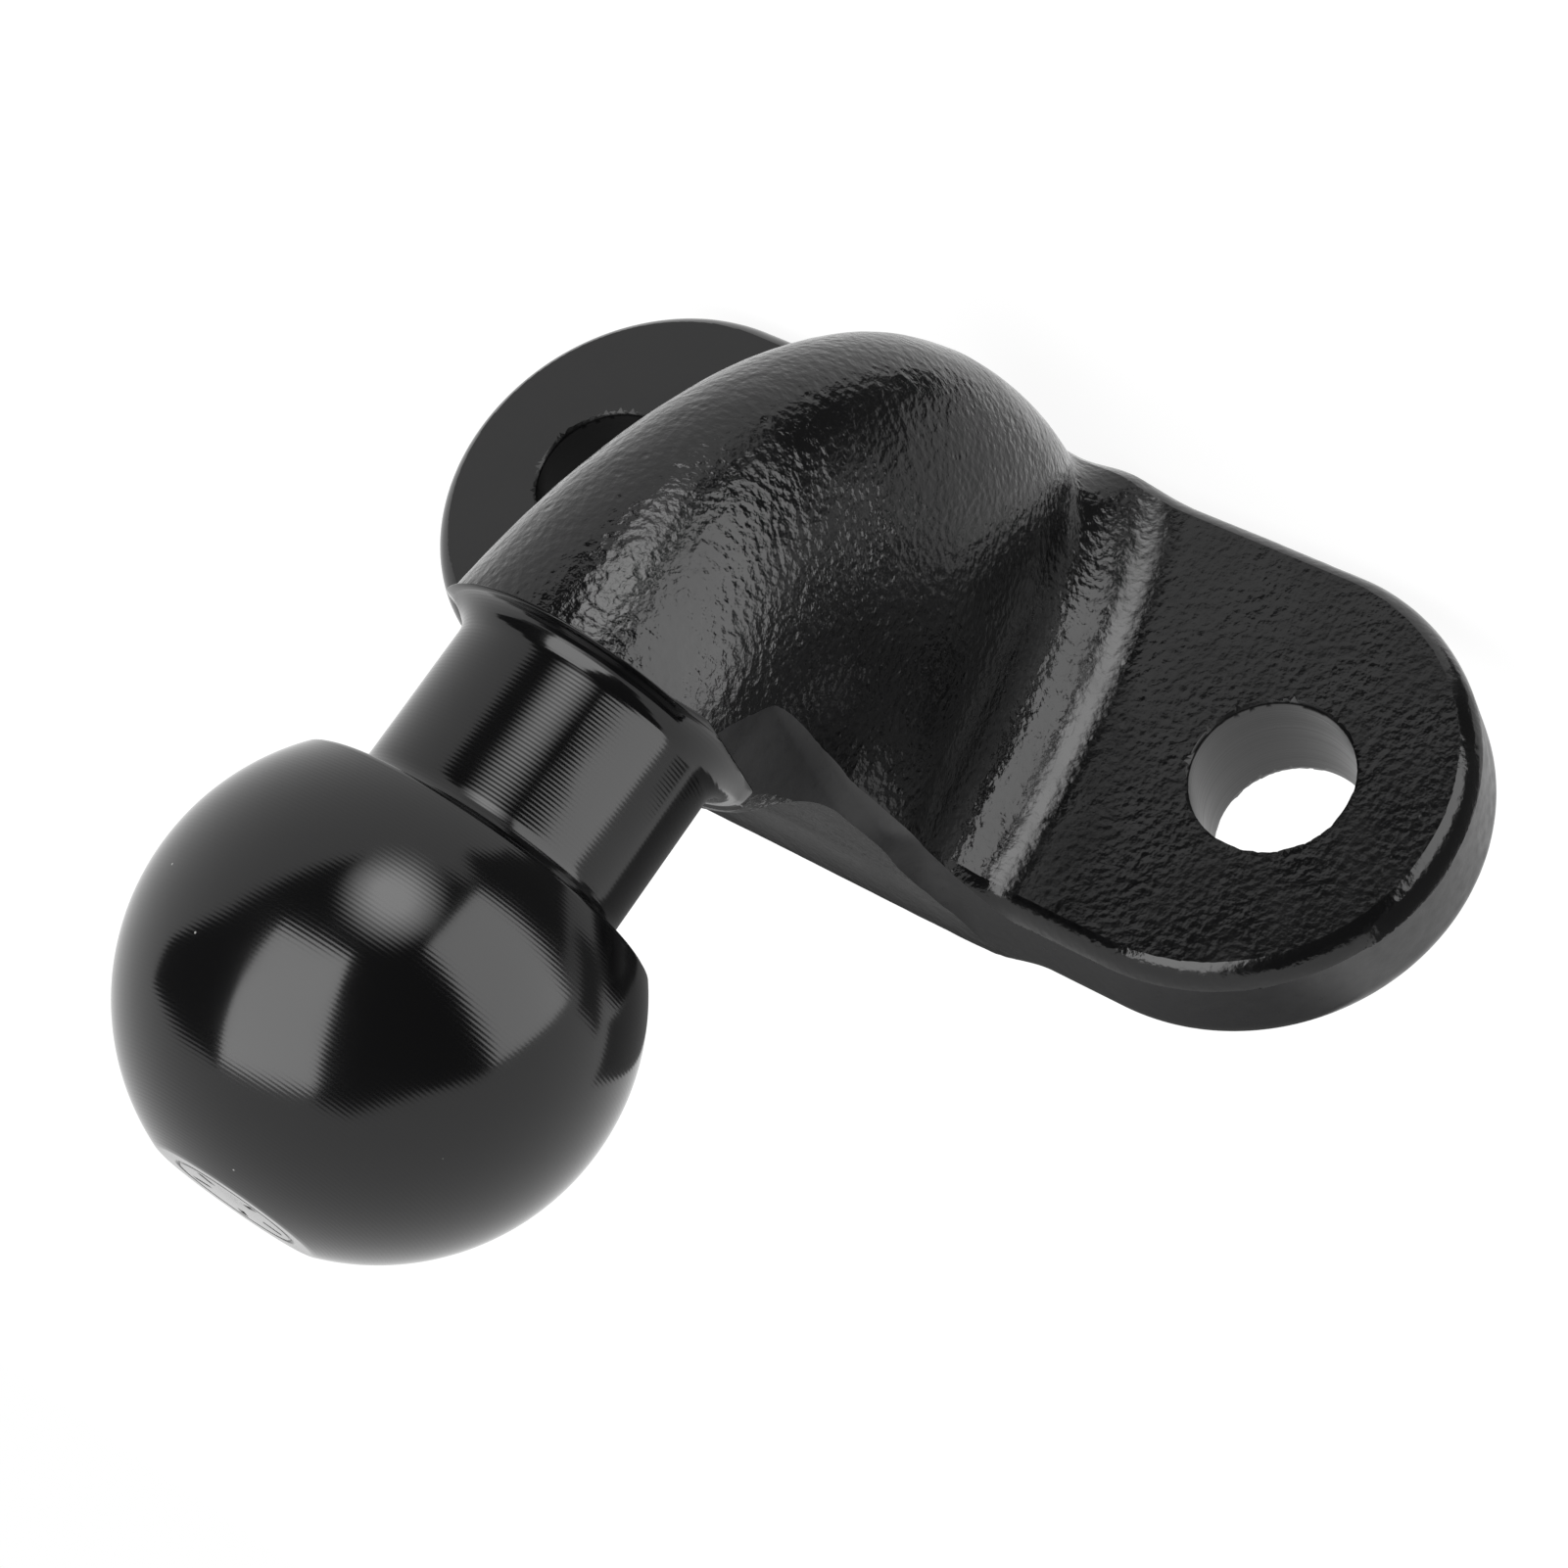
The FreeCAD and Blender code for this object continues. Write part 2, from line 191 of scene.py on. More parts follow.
# Turned work.
LEDGE = 37.55                     # the turned ledge round the neck
LEDGE_FALLS_FROM = 14.0           # past this distance from the middle it falls away to the trimmed sides
LEDGE_FALL = 0.35
FLARE_TIP = 17.7                  # radius of the flare's thin edge on the ledge
FLARE_FLAT = 16.3                 # that edge is trimmed with the strip, this far out on both sides
UNDER_EDGE = 0.34                 # rounding of the edge under the ball
BALL_LATHE = 0.0018 * MM          # height of the lathe's marks on the ball
NECK_LATHE = 0.0028 * MM
RING_GROOVE = 6.4                 # radius of the groove on the crown
GROOVE_WIDTH = 0.28
MARK_DEPTH = 0.25
CROWN_MARKS = 5
CROWN_STROKE = (3.2, 5.3)         # each stroke runs between these distances from the middle
STROKE_WIDTH = 0.42
STROKE_SLOPE = (0.25, 0.15)       # slope of a stroke's ends and of its sides

FORGED, TRIMMED, TURNED, DRILLED, MILLED = range(5)


def along(values, s):
    """A smooth curve through four values at s = 0, 1/3, 2/3 and 1."""
    v = np.array(values)
    ends = np.r_[2 * v[0] - v[1], v, 2 * v[3] - v[2]]
    span = np.clip((s * 3).astype(int), 0, 2)
    t = np.clip(s, 0, 1) * 3 - span
    p0, p1, p2, p3 = (ends[span + k] for k in range(4))
    return p1 + 0.5 * t * (p2 - p0 + t * (2 * p0 - 5 * p1 + 4 * p2 - p3 + t * (3 * (p1 - p2) + p3 - p0)))


def bezier(points, s):
    """Points of a cubic curve, for an array of s."""
    s = np.asarray(s)[..., None]
    p0, p1, p2, p3 = (np.array(p) for p in points)
    return (1 - s) ** 3 * p0 + 3 * (1 - s) ** 2 * s * p1 + 3 * (1 - s) * s ** 2 * p2 + s ** 3 * p3


def round_union(a, b, radius):
    """Inside either field, with a hollow fillet between them."""
    corner = np.hypot(np.maximum(radius - a, 0), np.maximum(radius - b, 0))
    return np.maximum(radius, np.minimum(a, b)) - corner


def round_both(a, b, radius):
    """Inside both fields, with a rounded edge between them."""
    corner = np.hypot(np.maximum(radius + a, 0), np.maximum(radius + b, 0))
    return np.minimum(-radius, np.maximum(a, b)) + corner


def blend_step(x, low, high):
    """From 0 at low to 1 at high, level at both ends."""
    t = np.clip((x - low) / (high - low), 0, 1)
    return t * t * (3 - 2 * t)


class SectionMap:
    """For any y and z, which section of the arm passes there: s, its inner end and its direction."""

    def __init__(self, step=0.5):
        self.step = step
        self.low, high = np.array(SECTION_AREA)
        size = ((high - self.low) / step).astype(int) + 1
        y, z = np.meshgrid(*(self.low[k] + step * np.arange(size[k]) for k in (0, 1)), indexing="ij")
        s = np.linspace(RUN_OUT, 1, 261)
        inner = bezier(ARM_INNER, s)
        reach = bezier(ARM_OUTER, s) - inner
        side = (y[..., None] - inner[:, 0]) * reach[:, 1] - (z[..., None] - inner[:, 1]) * reach[:, 0]
        side /= np.hypot(*reach.T)
        ahead = side < 0
        first = np.argmax(ahead, axis=-1)
        none = ~ahead.any(-1)
        first = np.where(none, len(s) - 1, np.maximum(first, 1))
        a = np.take_along_axis(side, first[..., None] - 1, -1)[..., 0]
        b = np.take_along_axis(side, first[..., None], -1)[..., 0]
        share = np.clip(a / np.where(np.abs(a - b) < 1e-9, 1, a - b), 0, 1)
        self.s = np.where(none, 1.0, s[first - 1] + share * (s[1] - s[0]))

    def __call__(self, y, z):
        u = np.clip((y - self.low[0]) / self.step, 0, self.s.shape[0] - 1.001)
        v = np.clip((z - self.low[1]) / self.step, 0, self.s.shape[1] - 1.001)
        i, j = u.astype(int), v.astype(int)
        u, v = u - i, v - j
        s = self.s
        return ((s[i, j] * (1 - v) + s[i, j + 1] * v) * (1 - u)
                + (s[i + 1, j] * (1 - v) + s[i + 1, j + 1] * v) * u)


SECTIONS = SectionMap()


def arm_field(p):
    """The forged arm: egg-shaped sections between an inner and an outer curve."""
    x, y, z = np.abs(p[:, 0]), p[:, 1], p[:, 2]
    s = SECTIONS(y, z)
    inner = bezier(ARM_INNER, s)
    reach = bezier(ARM_OUTER, s) - inner
    length = np.hypot(reach[:, 0], reach[:, 1])
    depth = ((y - inner[:, 0]) * reach[:, 0] + (z - inner[:, 1]) * reach[:, 1]) / length ** 2
    half, parting = along(ARM_HALF_WIDTH, s), np.maximum(along(ARM_PARTING, s), 0.02)
    outside = depth > parting
    power = np.where(outside, along(ARM_OUTER_POWER, s), along(ARM_INNER_POWER, s))
    taper = np.where(outside, along(ARM_TAPER, s), 0.0)
    scale = np.where(outside, 1 - parting, parting)
    t = np.abs(depth - parting) / scale
    width = half * np.maximum(1 - taper * t, 0.3)
    u = x / width
    g = np.maximum((u ** power + t ** power) ** (1 / power), 1e-6)
    du = (u / g) ** (power - 1)
    dt = (t / g) ** (power - 1) + du * u * taper * half / width
    slope = np.hypot(du / width, dt / (scale * length))
    return (g - 1) / np.maximum(slope, 1e-6)


def inner_side(p):
    """The arm's inner side: a flat face that sweeps up in a hollow to the round shoulder."""
    face = (p[:, 2] - INNER_FACE[0] - INNER_FACE[1] * p[:, 1]) / math.hypot(1, INNER_FACE[1])
    column = np.hypot(p[:, 0], p[:, 1] - AXIS_Y) - SHOULDER_COLUMN
    return round_union(face, column, INNER_HOLLOW)


def ear_outline(p):
    """Two round ears joined by straight sides, narrower towards the front."""
    reach = np.maximum(np.abs(p[:, 0]) - EAR_CENTRE, 0)
    return np.hypot(reach, p[:, 2]) - (EAR_ROUND + np.maximum(p[:, 1], -PLATE) * EAR_DRAFT)


def trim_outline(p, ears, wider):
    """The outline that the flash is sheared off to: the ears, and a strip up the arm."""
    z = p[:, 2]
    strip = np.abs(p[:, 0]) - (STRIP_WIDTH + wider - STRIP_LEAN * np.maximum(z - STRIP_FOOT, 0))
    return round_union(ears, np.where(z > 0, strip, EAR_ROUND), STRIP_FILLET)


def half_width(field, p):
    """How far out along x a field changes sign, at the y and z of each point."""
    low, high = np.full(len(p), 5.0), np.full(len(p), 40.0)
    for _ in range(30):
        middle = (low + high) / 2
        inside = field(np.column_stack([middle, p[:, 1:]])) < 0
        low, high = np.where(inside, middle, low), np.where(inside, high, middle)
    return low


def trim_line(step=1.0, soften=7):
    """Places along y, and how much wider the strip is there, so that it meets the flank on the trim line."""
    y = np.arange(-80.0, -10.0, step)
    p = np.column_stack([np.zeros(len(y)), y, np.interp(y, *np.transpose(TRIM_LINE))])
    flank = half_width(arm_field, p)
    plain = half_width(lambda q: trim_outline(q, ear_outline(q), 0.0), p)
    wider = (flank - plain) * (1 - blend_step(y, *TRIM_LINE_FADES))
    even = np.convolve(wider, np.ones(soften) / soften, "valid")
    return y[soften // 2:-(soften // 2)], even


TRIM_Y, TRIM_WIDER = trim_line()


def ledge_fall(x):
    """How far the ledge has fallen at a distance from the middle."""
    return LEDGE_FALL * np.maximum(np.abs(x) - LEDGE_FALLS_FROM, 0)


def forging_terms(p, grain=0.0):
    """The fields that together bound the forging, each with its finish. Grain is the skin's height."""
    x, y, z = np.abs(p[:, 0]), p[:, 1], p[:, 2]
    ears = ear_outline(p)
    arm = arm_field(p) - grain
    plate = np.maximum(ears, -PLATE - y)
    inner_fillet = np.where(z > 0, INNER_FILLET, LOWER_FILLET)
    fillet = inner_fillet + (FOOT_FILLET - inner_fillet) * blend_step(x, *FILLET_GROWS)
    rolled = round_both(ears - ROLLED_INSET, -PLATE - ROLLED_LIFT - y, ROLLED_EDGE) - ROLLED_GRAIN * grain
    back_edge = BACK_EDGE_MIDDLE + (BACK_EDGE - BACK_EDGE_MIDDLE) * blend_step(x, *BACK_EDGE_GROWS)
    rim = HOLE_RADIUS - np.hypot(x - HOLE_X, z)
    countersink = (rim + HOLE_EDGE + np.minimum(np.maximum(y, -PLATE - y), 0)) * math.sqrt(0.5)
    return (
        (FORGED, round_union(-PLATE - y - grain, arm, fillet)),
        (FORGED, round_union(inner_side(p), plate, INNER_FILLET) - grain),
        (MILLED, y),
        (DRILLED, np.maximum(rim, countersink)),
        (TURNED, z - LEDGE + ledge_fall(x)),
        (FORGED, round_union(rolled, arm, fillet)),
        (TRIMMED, round_both(trim_outline(p, ears, np.interp(y, TRIM_Y, TRIM_WIDER)), y, back_edge)),
    )


def forging_field(p, grain=0.0):
    return np.maximum.reduce([term for _, term in forging_terms(p, grain)])


# ---- rough skin -------------------------------------------------------------


class Lattice:
    """Smooth random values on a repeating lattice, from -1 to 1."""

    def __init__(self, seed, count=48):
        self.count = count
        self.values = np.random.default_rng(seed).uniform(-1, 1, (count,) * 3)

    def __call__(self, p, size):
        q = p / size
        whole = np.floor(q).astype(int)
        f = q - whole
        f = f * f * (3 - 2 * f)
        low, high = whole % self.count, (whole + 1) % self.count
        (i, j, k), (a, b, c) = low.T, high.T
        u, v, w = f.T
        n = self.values
        near = (n[i, j, k] * (1 - w) + n[i, j, c] * w) * (1 - v) + (n[i, b, k] * (1 - w) + n[i, b, c] * w) * v
        far = (n[a, j, k] * (1 - w) + n[a, j, c] * w) * (1 - v) + (n[a, b, k] * (1 - w) + n[a, b, c] * w) * v
        return near * (1 - u) + far * u


SMOOTH_EAR = 0.85                 # the ear on the +X side is smoother than the rest
SMOOTH_EAR_FROM = (22.0, 30.0)    # between these distances from the middle
SMOOTH_FACE = 0.80                # the plate's skin lies flatter than the arm's
SMOOTH_FACE_FROM = (-1.5, 0.0)    # in front of the plate's face, in y
SMOOTH_FACE_TO = (0.6, 2.2)       # behind it
SKIN_WAVES = (0.07, 11.0)         # height and size, in millimetres
SKIN_DENTS = (0.035, 3.1)
SKIN_PEEL = (0.013, 1.3)
SKIN_BASE = -0.06                 # the skin lies this far inside, so that its highest places stay in the box
TURN = np.array(Matrix.Rotation(0.7, 3, "X") @ Matrix.Rotation(0.5, 3, "Y") @ Matrix.Rotation(0.9, 3, "Z"))
WAVES = Lattice(11)
DENTS = Lattice(12)
PEEL = Lattice(13)


def skin_grain(p):
    """How far the forged skin stands out, in millimetres: slow waves, dents and orange peel."""
    q = p @ TURN
    waves = SKIN_WAVES[0] * WAVES(q, SKIN_WAVES[1])
    dents = SKIN_DENTS[0] * DENTS(q, SKIN_DENTS[1])
    peel = SKIN_PEEL[0] * PEEL(q, SKIN_PEEL[1])
    worn = 1 - SMOOTH_EAR * blend_step(p[:, 0], *SMOOTH_EAR_FROM)
    past_face = p[:, 1] + PLATE
    on_face = blend_step(past_face, *SMOOTH_FACE_FROM) * (1 - blend_step(past_face, *SMOOTH_FACE_TO))
    worn = worn * (1 - SMOOTH_FACE * on_face)
    return (waves + dents + peel) * worn + SKIN_BASE


# ---- wrapping a field in a mesh ---------------------------------------------


def slope_of(field, p, h=0.02):
    """The field's unit slope at each point."""
    parts = [field(p + h * axis) - field(p - h * axis) for axis in np.eye(3)]
    slope = np.stack(parts, 1)
    return slope / np.maximum(np.linalg.norm(slope, axis=1, keepdims=True), 1e-12)


def sample_grid(plain, full, axes, band):
    """The field on a grid: the full field near the surface and the plain one elsewhere."""
    values = np.empty([len(a) for a in axes])
    y, z = np.meshgrid(axes[1], axes[2], indexing="ij")
    for i, x in enumerate(axes[0]):
        p = np.stack([np.full(y.size, x), y.ravel(), z.ravel()], 1)
        row = plain(p)
        near = np.abs(row) < band
        row[near] = full(p[near])
        values[i] = row.reshape(y.shape)
    return values


def wrap_field(plain, full, low, high, step):
    """Points and quads round a field's surface, one point to each cell it crosses, with its edges kept."""
    axes = [np.arange(low[k], high[k] + step, step) for k in range(3)]
    values = sample_grid(plain, full, axes, 3 * step)
    cells = np.array(values.shape)
    quads, places, normals = [], [], []
    for axis in range(3):
        a = np.moveaxis(values, axis, 0)
        crossed = np.argwhere((a[:-1] < 0) != (a[1:] < 0))
        i, j, k = crossed.T
        first, second = a[i, j, k], a[i + 1, j, k]
        index = np.empty_like(crossed)
        others = [o for o in range(3) if o != axis]
        index[:, axis], index[:, others[0]], index[:, others[1]] = i, j, k
        inside = (index[:, others] > 0).all(1) & (index[:, others] < cells[others] - 1).all(1)
        index, first, second = index[inside], first[inside], second[inside]
        start = np.stack([axes[n][index[:, n]] for n in range(3)], 1)
        share = first / (first - second)
        for _ in range(2):
            p = start.copy()
            p[:, axis] += share * step
            found = full(p)
            same = (found < 0) == (first < 0)
            low_share, low_value = np.where(same, share, 0.0), np.where(same, found, first)
            high_share, high_value = np.where(same, 1.0, share), np.where(same, second, found)
            share = low_share + (high_share - low_share) * low_value / np.where(
                np.abs(low_value - high_value) < 1e-12, 1.0, low_value - high_value)
        p = start.copy()
        p[:, axis] += np.clip(share, 0, 1) * step
        ring = []
        for da, db in ((0, 0), (-1, 0), (-1, -1), (0, -1)):
            cell = index.copy()
            cell[:, others[0]] += da
            cell[:, others[1]] += db
            ring.append(np.ravel_multi_index(cell.T, cells))
        ring = np.stack(ring, 1)
        flip = (first < 0) != (axis == 1)
        quads.append(np.where(flip[:, None], ring, ring[:, ::-1]))
        places.append(p)
        normals.append(slope_of(full, p))
    quads, places, normals = (np.concatenate(part) for part in (quads, places, normals))
    names, owner = np.unique(quads, return_inverse=True)
    owner = owner.reshape(quads.shape)
    return corner_points(names, owner, places, normals, axes, cells, step), owner


def corner_points(names, owner, places, normals, axes, cells, step, hold=0.02):
    """For each cell, the point that lies nearest to all the tangent planes which cross it."""
    count = len(names)

    def gather(values):
        return sum(np.bincount(owner[:, c], values, count) for c in range(4))

    seen = gather(np.ones(len(places)))
    middle = np.stack([gather(places[:, k]) for k in range(3)], 1) / seen[:, None]
    offset = (normals * places).sum(1)
    matrix = np.empty((count, 3, 3))
    right = np.empty((count, 3))
    for r in range(3):
        for c in range(r, 3):
            matrix[:, r, c] = matrix[:, c, r] = gather(normals[:, r] * normals[:, c])
        right[:, r] = gather(normals[:, r] * offset)
    matrix += hold * np.eye(3)
    points = np.linalg.solve(matrix, (right + hold * middle)[..., None])[..., 0]
    cell = np.stack(np.unravel_index(names, cells), 1)
    corner = np.stack([axes[k][cell[:, k]] for k in range(3)], 1)
    return np.clip(points, corner, corner + step)


def split_quads(points, quads, field):
    """Two triangles from each quad, cut along the diagonal that lies closer to the surface."""
    a, b, c, d = quads.T
    first = np.abs(field((points[a] + points[c]) / 2))
    second = np.abs(field((points[b] + points[d]) / 2))
    use = (first <= second)[:, None]
    one = np.where(use, np.stack([a, b, c], 1), np.stack([b, c, d], 1))
    two = np.where(use, np.stack([a, c, d], 1), np.stack([b, d, a], 1))
    return np.concatenate([one, two])


# ---- meshes -----------------------------------------------------------------


def new_object(name, points, faces, materials):
    """A smooth mesh object from points in metres."""
    mesh = bpy.data.meshes.new(name)
    mesh.from_pydata([tuple(point) for point in points], [], [tuple(face) for face in faces])
    mesh.polygons.foreach_set("use_smooth", [True] * len(mesh.polygons))
    for material in materials:
        mesh.materials.append(material)
    mesh.update()
    piece = bpy.data.objects.new(name, mesh)
    bpy.context.scene.collection.objects.link(piece)
    return piece


def settle(piece):
    """Apply the piece's modifiers to its mesh."""
    graph = bpy.context.evaluated_depsgraph_get()
    mesh = bpy.data.meshes.new_from_object(piece.evaluated_get(graph))
    piece.modifiers.clear()
    piece.data = mesh


def thin_out(piece, most):
    """Take triangles away where the surface is flat, until the piece has at most so many."""
    count = len(piece.data.polygons)
    if count > most:
        reduce = piece.modifiers.new("reduce", "DECIMATE")
        reduce.ratio = most / count
        settle(piece)


def dress_forging(piece):
    """Give each face of the forging its finish, and each corner the exact slope of its surface."""
    mesh = piece.data
    points = np.empty(len(mesh.vertices) * 3)
    mesh.vertices.foreach_get("co", points)
    points = points.reshape(-1, 3) / MM
    corners = np.empty(len(mesh.loops), int)
    mesh.loops.foreach_get("vertex_index", corners)
    triangles = corners.reshape(-1, 3)
    centres = points[triangles].mean(1)
    terms = forging_terms(centres, skin_grain(centres))
    term = np.argmax([values for _, values in terms], axis=0)
    finish = np.array([name for name, _ in terms])[term]
    mesh.polygons.foreach_set("material_index", finish)
    normals = np.zeros((len(corners), 3))
    for number in range(len(terms)):
        chosen = np.repeat(term == number, 3)
        names, back = np.unique(corners[chosen], return_inverse=True)
        if len(names):
            slopes = slope_of(lambda p: forging_terms(p, skin_grain(p))[number][1], points[names], 0.05)
            normals[chosen] = slopes[back]
    mesh.normals_split_custom_set(normals.tolist())
    mesh.update()


def arc(centre, radius, start, end, count):
    """Points of an arc in the (radius, height) plane, angles in degrees."""
    angles = np.radians(np.linspace(start, end, count))
    return [(centre[0] + radius * math.cos(a), centre[1] + radius * math.sin(a)) for a in angles]


def turned(name, profile, materials, turns=320):
    """Spin a (radius, height) outline about the ball's axis, mapped by the turn and the way along it."""
    profile = np.array(profile)
    run = np.r_[0, np.cumsum(np.hypot(*np.diff(profile, axis=0).T))]
    angles = np.linspace(0, 2 * math.pi, turns, endpoint=False)
    rings = [(r * math.cos(a), AXIS_Y + r * math.sin(a), z) for r, z in profile[1:-1] for a in angles]
    points = [(0.0, AXIS_Y, profile[0][1])] + rings + [(0.0, AXIS_Y, profile[-1][1])]
    last = len(points) - 1
    faces, maps = [], []
    for turn in range(turns):
        after = (turn + 1) % turns
        u, v = turn / turns, (turn + 1) / turns
        faces.append((0, 1 + after, 1 + turn))
        maps += [(u, run[0]), (v, run[1]), (u, run[1])]
        for ring in range(len(profile) - 3):
            low, high = 1 + ring * turns, 1 + (ring + 1) * turns
            faces.append((low + turn, low + after, high + after, high + turn))
            maps += [(u, run[ring + 1]), (v, run[ring + 1]), (v, run[ring + 2]), (u, run[ring + 2])]
        low = 1 + (len(profile) - 3) * turns
        faces.append((low + turn, low + after, last))
        maps += [(u, run[-2]), (v, run[-2]), (u, run[-1])]
    piece = new_object(name, np.array(points) * MM, faces, materials)
    layer = piece.data.uv_layers.new(name="turning")
    layer.uv.foreach_set("vector", np.array(maps).ravel() * np.tile((1.0, MM), len(maps)))
    return piece


# ---- materials --------------------------------------------------------------
# Sizes and heights in metres.

PAINT_IOR = 1.468
PEEL_SIZE, PEEL_HEIGHT = 0.6 * MM, 0.085 * MM          # orange peel
DIMPLE_SIZE, DIMPLE_HEIGHT = 1.05 * MM, 0.075 * MM
PIT_SPACING, PIT_HEIGHT = 2.6 * MM, 0.05 * MM
PATCH_SIZE = 7 * MM                                    # patches of duller paint
FACE_ROUGHNESS = 0.40                                  # how rough the plate's skin is beside the arm's
FACE_ROUGHNESS_FROM = (-2.0, -0.3)                     # in front of the plate's face, in millimetres
STREAK_SIZE = 1.6 * MM
CLOUD_SIZE = 9 * MM                                    # slow changes in the turned paint
RIPPLE_SIZE, RIPPLE_HEIGHT = 2.4 * MM, 0.004 * MM
DUST_SPACING = 5.5 * MM
DUST_COLOUR = (0.30, 0.30, 0.29, 1)


def new_material(name):
    material = bpy.data.materials.new(name)
    material.use_nodes = True
    nodes = material.node_tree.nodes
    nodes.clear()
    return material, nodes, material.node_tree.links


def shader_with_output(nodes, links, paint, gloss):
    output = nodes.new("ShaderNodeOutputMaterial")
    shader = nodes.new("ShaderNodeBsdfPrincipled")
    links.new(shader.outputs["BSDF"], output.inputs["Surface"])
    shader.inputs["Base Color"].default_value = (*paint, 1)
    shader.inputs["Roughness"].default_value = gloss
    shader.inputs["IOR"].default_value = PAINT_IOR
    return shader


def noise(nodes, links, source, size, detail=2.0, rough=0.5):
    """A noise texture whose features are about size metres across."""
    texture = nodes.new("ShaderNodeTexNoise")
    texture.inputs["Scale"].default_value = 1 / size
    texture.inputs["Detail"].default_value = detail
    texture.inputs["Roughness"].default_value = rough
    links.new(source, texture.inputs["Vector"])
    return texture.outputs["Fac"]


def remap(nodes, links, source, low, high, to_low, to_high):
    """Stretch a value's range from low to high on to another one."""
    span = nodes.new("ShaderNodeMapRange")
    for socket, value in zip(("From Min", "From Max", "To Min", "To Max"), (low, high, to_low, to_high)):
        span.inputs[socket].default_value = value
    links.new(source, span.inputs["Value"])
    return span.outputs["Result"]


def calculate(nodes, links, operation, first, second):
    """A Math node on two numbers or sockets."""
    node = nodes.new("ShaderNodeMath")
    node.operation = operation
    for socket, value in zip(node.inputs, (first, second)):
        if isinstance(value, (int, float)):
            socket.default_value = value
        else:
            links.new(value, socket)
    return node.outputs[0]


def bump(nodes, links, height, distance, shader, below=None):
    """Raise the surface by height times distance, on top of any bump below."""
    node = nodes.new("ShaderNodeBump")
    node.inputs["Distance"].default_value = distance
    links.new(height, node.inputs["Height"])
    if below is not None:
        links.new(below, node.inputs["Normal"])
    if shader is not None:
        links.new(node.outputs["Normal"], shader.inputs["Normal"])
    return node.outputs["Normal"]


def place_of(nodes):
    return nodes.new("ShaderNodeTexCoord").outputs["Object"]


def dust_specks(nodes, links, place, paint, shader):
    """A few specks of dust in the paint, a tenth of a millimetre across."""
    spots = nodes.new("ShaderNodeTexVoronoi")
    spots.inputs["Scale"].default_value = 1 / DUST_SPACING
    links.new(place, spots.inputs["Vector"])
    speck = remap(nodes, links, spots.outputs["Distance"], 0.018, 0.026, 1.0, 0.0)
    colour = nodes.new("ShaderNodeMix")
    colour.data_type = "RGBA"
    colour.inputs["A"].default_value = (*paint, 1)
    colour.inputs["B"].default_value = DUST_COLOUR
    links.new(speck, colour.inputs["Factor"])
    links.new(colour.outputs["Result"], shader.inputs["Base Color"])


def forged_paint(finish):
    """Thick gloss paint over forging scale: orange peel, small pits and uneven gloss."""
    material, nodes, links = new_material("forged_paint")
    shader = shader_with_output(nodes, links, finish.paint, finish.forged_gloss)
    place = place_of(nodes)
    split = nodes.new("ShaderNodeSeparateXYZ")
    links.new(place, split.inputs["Vector"])
    start, end = (distance * MM for distance in SMOOTH_EAR_FROM)
    by_ear = remap(nodes, links, split.outputs["X"], start, end, 1.0, 1 - SMOOTH_EAR)
    start, end = ((distance - PLATE) * MM for distance in FACE_ROUGHNESS_FROM)
    by_face = remap(nodes, links, split.outputs["Y"], start, end, 1.0, FACE_ROUGHNESS)
    rough_part = calculate(nodes, links, "MULTIPLY", by_ear, by_face)
    peel = noise(nodes, links, place, PEEL_SIZE)
    dimples = nodes.new("ShaderNodeTexVoronoi")
    dimples.feature = "SMOOTH_F1"
    dimples.inputs["Scale"].default_value = 1 / DIMPLE_SIZE
    dimples.inputs["Smoothness"].default_value = 0.35
    links.new(place, dimples.inputs["Vector"])
    pits = nodes.new("ShaderNodeTexVoronoi")
    pits.inputs["Scale"].default_value = 1 / PIT_SPACING
    links.new(place, pits.inputs["Vector"])
    hollow = remap(nodes, links, pits.outputs["Distance"], 0.04, 0.20, 0.0, 1.0)
    raised = [calculate(nodes, links, "MULTIPLY", height, rough_part)
              for height in (peel, dimples.outputs["Distance"], hollow)]
    normal = bump(nodes, links, raised[0], PEEL_HEIGHT, None)
    normal = bump(nodes, links, raised[1], DIMPLE_HEIGHT, None, normal)
    bump(nodes, links, raised[2], PIT_HEIGHT, shader, normal)
    patches = noise(nodes, links, place, PATCH_SIZE)
    low, high = finish.forged_gloss - 0.03, finish.forged_gloss + 0.06
    links.new(remap(nodes, links, patches, 0.35, 0.65, low, high), shader.inputs["Roughness"])
    return material


def satin_paint(finish, name, paint, streak, height):
    """Satin paint over cut metal, with faint streaks."""
    material, nodes, links = new_material(name)
    shader = shader_with_output(nodes, links, paint, finish.trimmed_gloss)
    place = place_of(nodes)
    stretch = nodes.new("ShaderNodeMapping")
    stretch.inputs["Scale"].default_value = streak
    links.new(place, stretch.inputs["Vector"])
    streaks = noise(nodes, links, stretch.outputs["Vector"], STREAK_SIZE, 3.0, 0.6)
    bump(nodes, links, streaks, height, shader)
    low, high = finish.trimmed_gloss - 0.05, finish.trimmed_gloss + 0.07
    links.new(remap(nodes, links, streaks, 0.3, 0.7, low, high), shader.inputs["Roughness"])
    return material


def trimmed_paint(finish):
    """Paint on the sheared edges."""
    return satin_paint(finish, "trimmed_paint", finish.trimmed, (1.0, 1.0, 1.0), 0.020 * MM)


def ledge_paint(finish):
    """Paint on the turned ledge, with fine rings."""
    return satin_paint(finish, "ledge_paint", finish.paint, (1.0, 1.0, 6.0), 0.006 * MM)


def drilled_paint(finish):
    """Paint in the drilled holes, with fine rings."""
    return satin_paint(finish, "drilled_paint", finish.paint, (0.06, 5.0, 0.06), 0.012 * MM)


